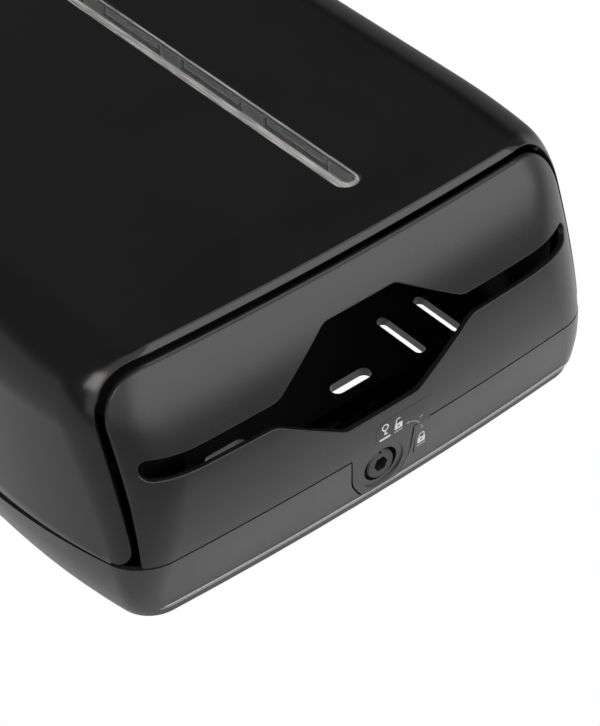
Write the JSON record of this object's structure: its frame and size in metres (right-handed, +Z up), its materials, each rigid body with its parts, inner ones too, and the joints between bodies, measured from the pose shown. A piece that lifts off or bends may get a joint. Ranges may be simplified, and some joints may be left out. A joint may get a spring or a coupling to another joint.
{
  "type": "paper towel dispenser",
  "caption": "Wall dispenser for folded paper towels: hinged lockable cover, clear level window, towel opening in its lower end, slotted back plate.",
  "frame": {"origin": "centre of the four wide wall slots, on the wall face of the back plate", "axes": "+X across to the right seen from the front, -Y out of the wall towards the user, +Z up as mounted"},
  "size_m": [0.29, 0.134, 0.4002],
  "materials": {
    "body_plastic": "satin dark grey moulded plastic with a fine texture",
    "inner_plastic": "black moulded plastic",
    "screw_steel": "zinc plated screws",
    "keeper_steel": "zinc plated steel",
    "label_film": "printed film with plain white symbols",
    "cover_plastic": "satin black moulded plastic",
    "panel_plastic": "finely textured dark grey moulded plastic",
    "window_plastic": "clear polished plastic",
    "channel_plastic": "grey moulded plastic",
    "arm_plastic": "black moulded plastic",
    "lock_plastic": "black moulded plastic",
    "spring_steel": "bright spring steel",
    "core_metal": "die-cast core with a dark coating"
  },
  "bodies": {
    "wall_body": {"back_body": "body_plastic", "towel_tray": "inner_plastic", "stack_guide_right": "inner_plastic", "stack_guide_left": "inner_plastic", "tray_screws": "screw_steel", "guide_screws": "screw_steel", "latch_keeper": "keeper_steel", "keeper_screws": "screw_steel", "hinge_pin_right": "keeper_steel", "hinge_pin_left": "keeper_steel", "locked_label": "label_film"},
    "cover": {"cover_shell": "cover_plastic", "end_panel": "panel_plastic", "panel_screws": "screw_steel", "legend_label": "label_film", "window_lens": "window_plastic", "window_channel": "channel_plastic", "hinge_arm_right": "arm_plastic", "hinge_arm_left": "arm_plastic", "arm_screws": "screw_steel", "lock_housing": "lock_plastic", "housing_cap": "lock_plastic", "housing_screws": "screw_steel", "lock_spring": "spring_steel"},
    "lock_button": {"lock_plunger": "lock_plastic"},
    "lock_key_core": {"lock_core": "core_metal", "lock_clip": "spring_steel", "lock_cam": "keeper_steel", "cam_screw": "screw_steel"}
  },
  "joints": [
    {"name": "cover_hinge", "type": "hinge", "parent": "wall_body", "child": "cover", "pos_m": [0, -0.012, 0.184], "axis": [-1, 0, 0], "range_deg": [0, 80]},
    {"name": "lock_push", "type": "slide", "parent": "cover", "child": "lock_button", "axis": [0, 0, 1], "range_m": [0, 0.003], "stiffness_N_per_m": 600, "springref_m": -0.001, "deforming": ["lock_spring"]},
    {"name": "lock_turn", "type": "hinge", "parent": "lock_button", "child": "lock_key_core", "pos_m": [0, -0.0206, -0.19], "axis": [0, 0, 1], "range_deg": [0, 90]}
  ]
}
